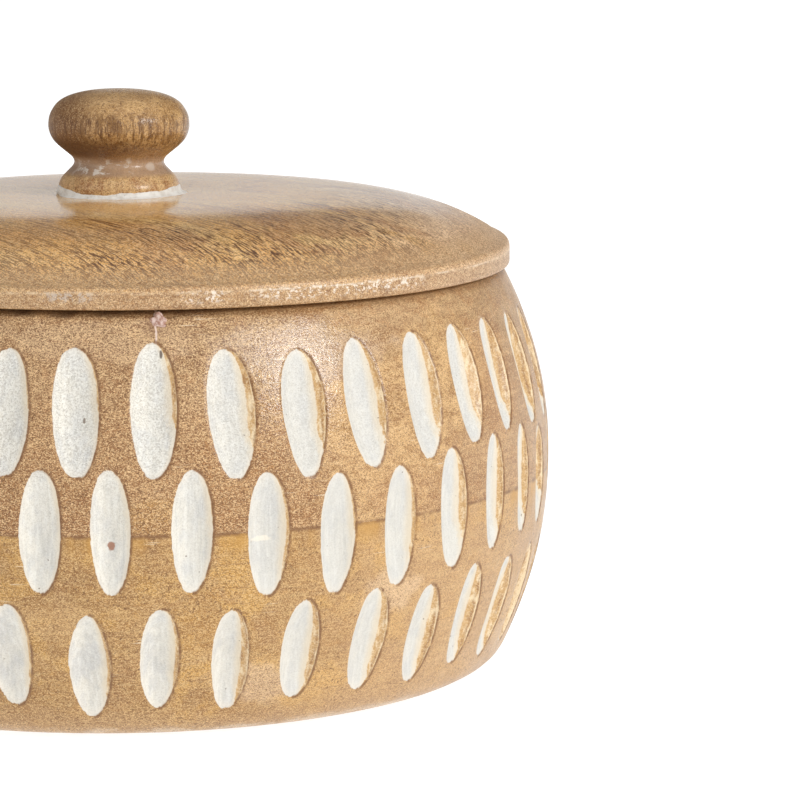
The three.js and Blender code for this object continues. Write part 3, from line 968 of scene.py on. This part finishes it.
def block_material(name, upper):
    m = Shader(name)
    patches = m.noise(m.stretched((0.6, 0.6, 1.3)), 0.045, 3, 0.55, 0.4)
    bands = m.noise(m.stretched((0.25, 0.25, 2.2)), 0.07, 3, 0.55, 0.3)
    clouds = m.noise(m.stretched((0.7, 0.7, 1.2), 0, (5, 40, 9)), 0.13, 4, 0.6, 0.6)
    # the speckle is strong on one side of the bowl and weaker on the other
    facing = m.plus(m.times(m.x, -0.42), m.y, -0.9)
    strong = m.step(facing, 48.0, 76.0, 0.72, 1.0)
    fibres = m.stretched((0.8, 1.1, 1.25))
    # side is 1 left of the front, where the wood is made darker: partly its own tone, partly
    # painted shade on the side away from the key light
    side = m.step(m.x, 45.0, -45.0)
    cream = linear(244, 222, 184)
    if upper:
        color = m.mix(m.step(patches, 0.38, 0.62), linear(174, 136, 92), linear(198, 161, 117))
        color = m.tint(color, bands, 0.44, 0.66, 0.45, (164, 120, 78))
        color = m.mix(m.step(m.z, 62.0, 48.0, 0, 0.6), color, linear(184, 138, 86))
        color = m.tint(color, clouds, 0.5, 0.66, 0.5, (156, 112, 72))
        color = m.tint(color, clouds, 0.46, 0.32, 0.4, (206, 164, 118))
        tint = m.noise(m.stretched((0.8, 0.8, 1.2), 0, (3, 8, 21)), 0.32, 3, 0.6, 0.8)
        color = m.tint(color, tint, 0.52, 0.66, 0.45, (186, 132, 80))
        color = m.tint(color, tint, 0.48, 0.34, 0.4, (186, 152, 106))
        gold = m.blob(on_bowl(36, 62), (20, 24, 20))
        gold = m.most(gold, m.blob(on_bowl(47, 76), (14, 20, 13)))
        color = m.cover(color, gold, 0.9, (222, 180, 124))
        flame = m.noise(m.stretched((1, 1, 1.6), 0.6), 0.22, 4, 0.6, 0.8)
        flame = m.times(m.step(flame, 0.5, 0.6), gold, 0.7)
        color = m.mix(flame, color, linear(168, 124, 72))
        # darker wood with painted shade on the left
        color = m.cover(color, side, 0.42, (148, 102, 64))
        warm = m.times(m.step(m.z, 82.0, 62.0), m.step(m.x, 75.0, 45.0, 0.5, 1), 0.42)
        warm = m.times(warm, m.minus(1.0, m.times(gold, 0.7)))
        color = m.mix(warm, color, linear(162, 110, 58))
        for patch in UPPER_PATCHES:
            color = m.patch(color, *patch)
        grain = m.noise(m.stretched((0.3, 0.3, 1.5), 0, (2, 70, 9)), 0.42, 3, 0.6, 0.9)
        color = m.tint(color, grain, 0.5, 0.64, 0.4, (150, 100, 58))
        color = m.tint(color, grain, 0.47, 0.34, 0.35, (226, 184, 132))
        pale = linear(238, 202, 152)
        strength = m.times(strong, 0.85)
        color, soft = m.speckled(color, linear(108, 71, 39), pale, strength, fibres)
    else:
        color = m.mix(m.step(patches, 0.36, 0.64), linear(184, 140, 82), linear(200, 158, 102))
        color = m.tint(color, bands, 0.45, 0.66, 0.65, (170, 128, 80))
        color = m.tint(color, bands, 0.45, 0.3, 0.5, (212, 170, 116))
        color = m.tint(color, clouds, 0.5, 0.62, 0.65, (160, 116, 64))
        color = m.tint(color, clouds, 0.46, 0.34, 0.5, (218, 176, 112))
        tint = m.noise(m.stretched((0.6, 0.6, 1.6), 0, (3, 8, 21)), 0.32, 3, 0.6, 0.8)
        color = m.tint(color, tint, 0.52, 0.66, 0.4, (190, 138, 72))
        color = m.tint(color, tint, 0.48, 0.34, 0.35, (196, 164, 112))
        area = m.noise(m.stretched((1, 1, 1.5), 0, (60, 3, 14)), 0.075, 3, 0.55, 0.5)
        color = m.tint(color, area, 0.51, 0.62, 0.65, (218, 168, 86))
        color = m.tint(color, area, 0.46, 0.34, 0.5, (170, 128, 86))
        level = m.noise(m.stretched((0.12, 0.12, 2.6)), 0.9, 2, 0.6)
        color = m.tint(color, level, 0.54, 0.68, 0.55, (146, 104, 60))
        color = m.tint(color, level, 0.46, 0.34, 0.3, (226, 188, 128))
        # paler towards the right and darker on the left: partly the wood's own tone, partly
        # painted light and shade from the key light on the right
        right = m.step(facing, 74.0, 40.0, 0, 0.45)
        color = m.mix(right, color, linear(208, 168, 124))
        color = m.cover(color, side, 0.3, (160, 118, 66))
        heel = m.step(m.plus(m.z, bands, 12.0), 16.0, 9.0, 0, 0.55)
        color = m.mix(heel, color, linear(184, 148, 110))
        edge = m.noise(m.stretched((1, 1, 2)), 0.16, 3, 0.6)
        edge = m.times(m.step(edge, 0.48, 0.6), m.step(m.z, 3.4, 1.6))
        color = m.cover(color, edge, 0.7, (226, 204, 176))
        for patch in LOWER_PATCHES:
            color = m.patch(color, *patch)
        strength = m.times(strong, 0.7)
        pale = linear(234, 198, 142)
        color, soft = m.speckled(color, linear(122, 80, 38), pale, strength, fibres)
        pepper = m.step(m.noise(m.place, 1.7, 2, 0.5), 0.6, 0.66)
        pepper = m.times(pepper, m.step(m.noise(m.place, 0.1, 2), 0.44, 0.58, 0.15, 1), 0.65)
        color = m.mix(pepper, color, linear(104, 68, 34))

    # light level scratches from sanding
    scratch = m.noise(m.stretched((0.1, 0.1, 3.0)), 1.0, 2, 0.5)
    where = m.noise(m.stretched((1, 1, 1.4)), 0.05, 2)
    scratch = m.times(m.step(scratch, 0.66, 0.73), m.step(where, 0.56, 0.66), 0.65)
    color = m.mix(scratch, color, linear(244, 230, 204))
    # the glue line, and the gold wood that shows along it below
    wander = m.noise(m.stretched((1, 1, 0)), 0.1, 3)
    off = m.minus(m.z, SEAM_HEIGHT)
    if not upper:
        below = m.times(m.step(off, -6.0, -1.0), m.step(wander, 0.44, 0.58), 0.7)
        color = m.mix(below, color, linear(198, 148, 70))
    glue = m.step(m.math("ABSOLUTE", off), m.times(wander, 1.7), 0.0)
    glue = m.times(glue, m.step(m.noise(m.stretched((1, 1, 0)), 0.3, 2), 0.36, 0.56, 0.3, 0.8))
    color = m.mix(glue, color, linear(122, 82, 46))
    if upper:
        # painted shade in the joint under the lid, with some dirt, thickest left of the front
        lid_gap_shade_and_dirt = m.step(m.plus(m.z, m.fray(m.place, 0.4), 0.8), 90.7, 91.5)
        radius = m.radius()
        lid_gap_shade_and_dirt = m.times(lid_gap_shade_and_dirt, m.step(m.x, 40.0, -10.0, 0.25, 0.8), m.step(radius, 86.0, 87.2))
        lid_gap_shade_and_dirt = m.times(lid_gap_shade_and_dirt, m.step(m.noise(m.place, 0.11, 3), 0.36, 0.6, 0.45, 1))
        color = m.mix(lid_gap_shade_and_dirt, color, linear(66, 42, 26))
        x, y, z = (m.minus(a, b) for a, b in zip((m.x, m.y, m.z), on_bowl(4.6, 85)))
        x = m.math("ABSOLUTE", m.plus(x, m.fray(m.place, 0.5), 1.2))
        span = m.times(m.step(z, -1.8, -0.6), m.step(y, 15.0, 10.0))
        flank = m.times(m.step(x, 3.6, 0.2), span, m.step(z, 0.5, 4.5), 0.5)
        color = m.mix(flank, color, linear(118, 78, 52))
        color = m.mix(m.times(m.step(x, 0.26, 0.12), span, 0.75), color, linear(238, 214, 200))
    gritty = m.times(strong, m.step(m.z, 54.0, 62.0, 0.3, 0.6)) if upper else 0.25
    gold, brown = linear(206, 166, 112), linear(142, 96, 54)
    color, thick = paint_coat(m, color, gold, brown, cream, gritty)

    rough = m.step(m.noise(m.place, 0.25, 3), 0.3, 0.7, 0.29, 0.38)
    polished = m.blob(on_bowl(28, 78), (22, 30, 15), 0.2)
    rough = m.minus(m.plus(rough, thick, 0.3), m.times(polished, 0.12))
    relief = m.plus(soft, m.noise(m.place, 0.6, 3), 1.2)
    strokes = m.noise(m.stretched((2.2, 2.2, 0.25)), 0.8, 2)
    relief = m.plus(relief, m.times(strokes, thick), 1.6)
    normal = m.bump(relief, 0.1, 0.7)
    return m.surface(color, rough, normal, Specular_IOR_Level=0.5)


LID_GRAIN = math.radians(50)


def lid_material():
    m = Shader("lid_wood")
    clouds = m.noise(m.stretched((0.5, 1.1, 1), LID_GRAIN), 0.035, 3, 0.55, 0.5)
    color = m.mix(m.step(clouds, 0.36, 0.64), linear(242, 184, 108), linear(255, 212, 140))
    bands = m.noise(m.stretched((0.12, 1.5, 1), LID_GRAIN), 0.09, 3, 0.6, 0.4)
    color = m.tint(color, bands, 0.52, 0.72, 0.4, (198, 142, 84))
    color = m.tint(color, bands, 0.46, 0.3, 0.35, (228, 184, 128))
    flat = m.stretched((0.7, 0.7, 1))
    radius = m.radius()
    up = m.minus(m.z, LID_SEAT)
    strength = m.step(radius, 74.0, 87.0, 0.6, 1.0)
    right = m.step(m.plus(m.x, m.minus(clouds, 0.5), 60.0), 40.0, 78.0, 0, 0.85)
    color = m.mix(right, color, linear(255, 220, 186))
    patch = m.noise(m.stretched((0.5, 0.9, 1), LID_GRAIN, (40, 9, 2)), 0.06, 3, 0.55, 0.6)
    patched = m.times(m.step(m.x, -10.0, 30.0, 0.5, 1), m.step(m.x, 80.0, 55.0, 0.5, 1))
    gold, brown = (
        m.times(m.step(patch, *ends, 0, 0.8), patched) for ends in ((0.5, 0.6), (0.47, 0.38))
    )
    color = m.mix(gold, color, linear(240, 184, 104))
    color = m.cover(color, brown, 0.8, (190, 132, 84))
    color, soft = m.speckled(color, linear(120, 76, 38), linear(250, 214, 162), strength, flat)
    area = m.step(m.noise(m.stretched((0.6, 1, 1), LID_GRAIN), 0.045, 2), 0.36, 0.6, 0.6, 1)
    streak = m.noise(m.stretched((0.1, 2.3, 1), LID_GRAIN), 1.0, 1, 0.5)
    finer = m.noise(m.stretched((0.22, 3.6, 1), LID_GRAIN, (9, 5, 2)), 1.0, 1, 0.5)
    streak = m.most(m.step(streak, 0.56, 0.61), m.step(finer, 0.55, 0.61))
    where = m.times(m.step(radius, 38.0, 68.0, 0.32, 1), m.step(m.x, 84.0, 58.0, 0.3, 1))
    streak = m.times(streak, area, m.step(up, 3.4, 5.0), where)
    color = m.cover(color, streak, 0.95, (92, 52, 22))

    # paint that stayed on the arris and the band below it, most of it right of the front
    azimuth = m.azimuth()
    elsewhere = m.times(m.step(m.y, -20.0, 20.0), m.step(m.noise(m.place, 0.06), 0.52, 0.6))
    places = m.most(m.band(azimuth, 19, 46, 3), m.band(azimuth, 8.5, 14, 1.5))
    places = m.most(places, elsewhere)
    flecks = m.noise(m.stretched((1, 1, 1.2)), 1.1, 4, 0.7)
    flecks = m.times(m.step(flecks, 0.52, 0.59), m.step(up, 0.8, 2.2), m.step(up, 4.3, 3.6))
    flecks = m.times(flecks, places)
    line = m.times(m.band(up, 3.45, 3.75, 0.16), m.step(m.noise(m.place, 0.3, 3), 0.42, 0.56))
    line = m.times(line, m.most(m.band(azimuth, 15, 66, 3), elsewhere), 0.45)
    rim = m.step(radius, 86.0, 88.0)
    worn = m.times(m.most(flecks, line), rim)
    grey = m.times(m.band(azimuth, -10, -4, 1.5), m.band(up, 1.8, 3.8, 0.5), rim)
    grey = m.times(grey, m.step(m.noise(m.place, 1.2, 3, 0.6), 0.42, 0.6), 0.6)
    outer = m.step(radius, 80.0, 87.0)
    color = m.cover(color, outer, 0.5, (200, 156, 108))
    band = m.times(m.step(up, 4.2, 3.2), outer)
    color = m.cover(color, band, 0.5, (160, 120, 82))
    stain = m.noise(m.stretched((1, 1, 1.5), 0, (7, 1, 4)), 0.4, 4, 0.65)
    color = m.mix(m.times(m.step(stain, 0.5, 0.62), band, 0.5), color, linear(132, 92, 52))
    grit = m.times(outer, 0.6)
    color, _ = m.speckled(color, linear(120, 80, 44), linear(240, 212, 168), grit)
    bright = m.times(m.band(up, 3.3, 3.9, 0.3), m.step(stain, 0.54, 0.42, 0.1, 0.6), outer)
    color = m.mix(bright, color, linear(226, 200, 164))
    color = m.mix(grey, color, linear(196, 186, 176))
    color = m.cover(color, worn, 0.82, (242, 230, 214))
    gloss = m.step(m.plus(radius, m.fray(m.place, 0.1, 3), 8.0), 70.0, 86.0, 0.13, 0.42)
    rough = m.plus(gloss, worn, 0.3)
    relief = m.minus(m.times(soft, 0.3), m.times(streak, 0.6))
    normal = m.bump(relief, 0.03, 0.4)
    return m.surface(color, rough, normal, Specular_IOR_Level=0.6)


def knob_material():
    m = Shader("knob_wood")
    azimuth, up = m.azimuth(), m.minus(m.z, KNOB_SEAT)
    clouds = m.noise(m.stretched((1, 1, 0.5)), 0.14, 3, 0.55, 0.8)
    color = m.mix(m.step(clouds, 0.36, 0.62), linear(170, 128, 76), linear(206, 164, 106))
    # the knob's left is darker: its own darker wood and painted shade on the side away from the
    # key light
    left = m.step(m.x, -2.0, -11.0)
    color = m.cover(color, left, 0.85, (108, 68, 30))
    color, soft = m.speckled(color, linear(122, 80, 44), linear(226, 190, 142), 0.55)
    # dark pores: upright on the side of the cap, short dots on its top
    side = m.band(up, 10.5, 19.0, 1.5)
    bars = m.noise(m.stretched((1.1, 1.1, 0.12)), 0.95, 2, 0.5)
    bars = m.times(m.step(bars, 0.46, 0.6), side, 0.7)
    color = m.mix(bars, color, linear(122, 84, 40))
    streak = m.noise(m.stretched((2.2, 2.2, 0.22)), 0.95, 3, 0.6)
    streak = m.times(m.step(streak, 0.54, 0.62), side)
    dots = m.step(m.noise(m.place, 1.2, 2, 0.6), 0.57, 0.66, 0, 0.7)
    streak = m.most(streak, m.times(dots, m.step(up, 9.0, 14.0)))
    color = m.cover(color, streak, 0.75, (88, 50, 12))
    # painted shade under the overhang of the cap, darker to the left
    low = m.times(m.band(up, 8.5, 13.0, 1.5), m.step(m.x, 12.0, -8.0, 0.25, 1), 0.75)
    color = m.mix(low, color, linear(88, 54, 26))
    # the foot is paler, with rusty patches; the neck keeps rubbed paint
    foot = m.step(up, 5.4, 3.8)
    rust = m.noise(m.stretched((1, 1, 0.6)), 0.3, 3, 0.6)
    gold = m.mix(m.step(rust, 0.46, 0.62), linear(222, 182, 126), linear(176, 124, 74))
    gold, _ = m.speckled(gold, linear(130, 84, 46), linear(234, 204, 156), 0.7)
    color = m.mix(m.times(foot, 0.85), color, gold)
    neck = m.times(m.step(up, 4.0, 5.2), m.step(up, 9.4, 7.8))
    color = m.cover(color, neck, 0.65, (176, 150, 130))
    flake = m.step(m.noise(m.stretched((1, 1, 2.0)), 0.3, 4, 0.65), 0.52, 0.6)
    places = m.most(m.band(azimuth, -60, -12, 9), m.band(azimuth, -6, 14, 5))
    places = m.most(places, m.step(m.y, -2.0, 2.0))
    paint = m.times(neck, flake, places)
    spot = (10.2 * math.sin(0.75), -10.2 * math.cos(0.75), KNOB_SEAT + 6.6)
    spot = m.blob(spot, (1.6, 1.6, 1.2))
    paint = m.most(paint, m.times(spot, 0.5))
    color = m.cover(color, paint, 0.85, (228, 220, 208))
    rough = m.plus(m.step(soft, 0.3, 0.7, 0.22, 0.3), m.most(paint, left), 0.3)
    relief = m.minus(soft, m.times(streak, 0.8))
    normal = m.bump(relief, 0.08, 0.6)
    return m.surface(color, rough, normal, Specular_IOR_Level=0.5)


def old_paint_material():
    m = Shader("old_paint")
    mottle = m.noise(m.place, 0.6, 4, 0.65)
    color = m.mix(m.step(mottle, 0.4, 0.7), linear(238, 235, 228), linear(214, 208, 198))
    speck = m.step(m.noise(m.place, 1.1, 2), 0.68, 0.73, 0, 0.7)
    color = m.mix(speck, color, linear(140, 124, 102))
    rough = m.step(mottle, 0.3, 0.7, 0.5, 0.7)
    return m.surface(color, rough, m.bump(mottle, 0.15, 0.8))


def filler_material():
    m = Shader("crumb_of_paint")
    mottle = m.noise(m.place, 1.3, 4, 0.65)
    color = m.mix(m.step(mottle, 0.36, 0.64), linear(222, 196, 184), linear(166, 122, 104))
    rough = m.step(mottle, 0.3, 0.7, 0.5, 0.7)
    return m.surface(color, rough, m.bump(mottle, 0.25, 0.9))


def steel_material():
    m = Shader("screw_zinc")
    turned = m.noise(m.stretched((1, 1, 6)), 1.2, 3, 0.6)
    color = m.mix(turned, linear(196, 194, 186), linear(160, 158, 152))
    rough = m.step(turned, 0.3, 0.7, 0.28, 0.45)
    return m.surface(color, rough, m.bump(turned, 0.03, 0.5), Metallic=1.0)


def floor_material():
    m = Shader("floor_paper")
    grain = m.noise(m.place, 0.02, 2)
    color = m.mix(grain, (0.28, 0.28, 0.28, 1), (0.32, 0.32, 0.32, 1))
    return m.surface(
        color, 0.9, Specular_IOR_Level=0.1, Emission_Color=(1, 1, 1, 1), Emission_Strength=0.9
    )


def place_camera():
    """The photograph's camera: a long lens in front of the box, turned to its right."""
    turn, dip, roll = CAMERA_TURN, CAMERA_DIP, CAMERA_ROLL
    level = Vector((math.sin(turn), math.cos(turn), 0))
    forward = level * math.cos(dip) - Vector((0, 0, math.sin(dip)))
    right = Vector((math.cos(turn), -math.sin(turn), 0))
    up = right.cross(forward)
    right, up = (
        math.cos(roll) * right + math.sin(roll) * up,
        math.cos(roll) * up - math.sin(roll) * right,
    )
    data = bpy.data.cameras.new("camera")
    data.sensor_width = 36
    data.lens = FOCAL_LENGTH
    camera = bpy.data.objects.new("camera", data)
    axes = Matrix((right, up, -forward)).transposed().to_4x4()
    camera.matrix_world = Matrix.Translation(CAMERA_PLACE) @ axes
    bpy.context.scene.collection.objects.link(camera)
    bpy.context.scene.camera = camera


def area_light(name, azimuth, elevation, distance, size, power):
    """A soft square lamp that faces the box."""
    data = bpy.data.lights.new(name, "AREA")
    data.shape = "SQUARE"
    data.size = size
    data.energy = power
    lamp = bpy.data.objects.new(name, data)
    a, e = math.radians(azimuth), math.radians(elevation)
    away = Vector((math.sin(a) * math.cos(e), -math.cos(a) * math.cos(e), math.sin(e)))
    lamp.location = Vector((0, 0, 0.06)) + away * distance
    lamp.rotation_mode = "QUATERNION"
    lamp.rotation_quaternion = away.to_track_quat("Z", "Y")
    bpy.context.scene.collection.objects.link(lamp)
    return lamp


def light_scene():
    """A white lit table and backdrop, a soft front, and soft lamps."""
    world = bpy.data.worlds.new("studio")
    bpy.context.scene.world = world
    world.use_nodes = True
    tree = world.node_tree

    def math_node(operation, *values):
        made = tree.nodes.new("ShaderNodeMath")
        made.operation = operation
        for socket, value in zip(made.inputs, values):
            if isinstance(value, bpy.types.NodeSocket):
                tree.links.new(value, socket)
            else:
                socket.default_value = value
        return made.outputs[0]

    def ramp(value, low, high, start, end):
        made = tree.nodes.new("ShaderNodeMapRange")
        made.interpolation_type = "SMOOTHSTEP"
        for socket, number in zip(made.inputs[1:5], (low, high, start, end)):
            socket.default_value = number
        tree.links.new(value, made.inputs[0])
        return made.outputs[0]

    direction = tree.nodes.new("ShaderNodeTexCoord").outputs["Generated"]
    split = tree.nodes.new("ShaderNodeSeparateXYZ")
    tree.links.new(direction, split.inputs[0])
    backdrop = ramp(split.outputs["Z"], *BACKDROP_EDGE, 1.0, 0.0)
    towards = math_node("MULTIPLY", split.outputs["X"], math.sin(FRONT_AZIMUTH))
    ahead = math_node("MULTIPLY", split.outputs["Y"], -math.cos(FRONT_AZIMUTH))
    towards = math_node("ADD", towards, ahead)
    ceiling = ramp(towards, -0.1, 0.6, BACK_LIGHT, FRONT_LIGHT)
    zenith = ramp(split.outputs["Z"], 0.55, 0.9, 0.0, ZENITH_LIGHT)
    ceiling = math_node("ADD", ceiling, zenith)
    strength = math_node("MAXIMUM", math_node("MULTIPLY", backdrop, BACKDROP_LIGHT), ceiling)
    tree.links.new(strength, tree.nodes["Background"].inputs["Strength"])
    tree.nodes["Background"].inputs["Color"].default_value = (1, 1, 1, 1)
    for lamp in LAMPS:
        area_light(*lamp)
    behind = area_light(*BACK_LAMP)
    behind.visible_glossy = False
    behind.visible_camera = False
    bpy.context.scene.view_settings.view_transform = "Standard"
    points, faces = lathe([(0, 0), (8000, 0)], 64)
    floor = make_object("floor", points, [f[::-1] for f in faces], smooth=False)
    floor.data.materials.append(floor_material())


def dress(piece, material, body, slot, *nodes):
    piece.data.materials.clear()
    piece.data.materials.append(material)
    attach(piece, body)
    if nodes:
        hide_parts(*nodes)


lower, upper = bowl_blocks()
dress(lower, block_material("lower_wood", False), "bowl", "lower_wood", "lower_block")
dress(upper, block_material("upper_wood", True), "bowl", "upper_wood", "upper_block")
dress(crack_filler(), filler_material(), "bowl", "upper_wood")
dress(lid_object(), lid_material(), "lid", "lid_wood", "lid")
dress(knob_object(), knob_material(), "lid", "knob_wood", "knob")
dress(paint_bead(), old_paint_material(), "lid", "lid_wood")
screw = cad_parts["knob_screw"]
screw.data.materials.clear()
screw.data.materials.append(steel_material())

place_camera()
light_scene()
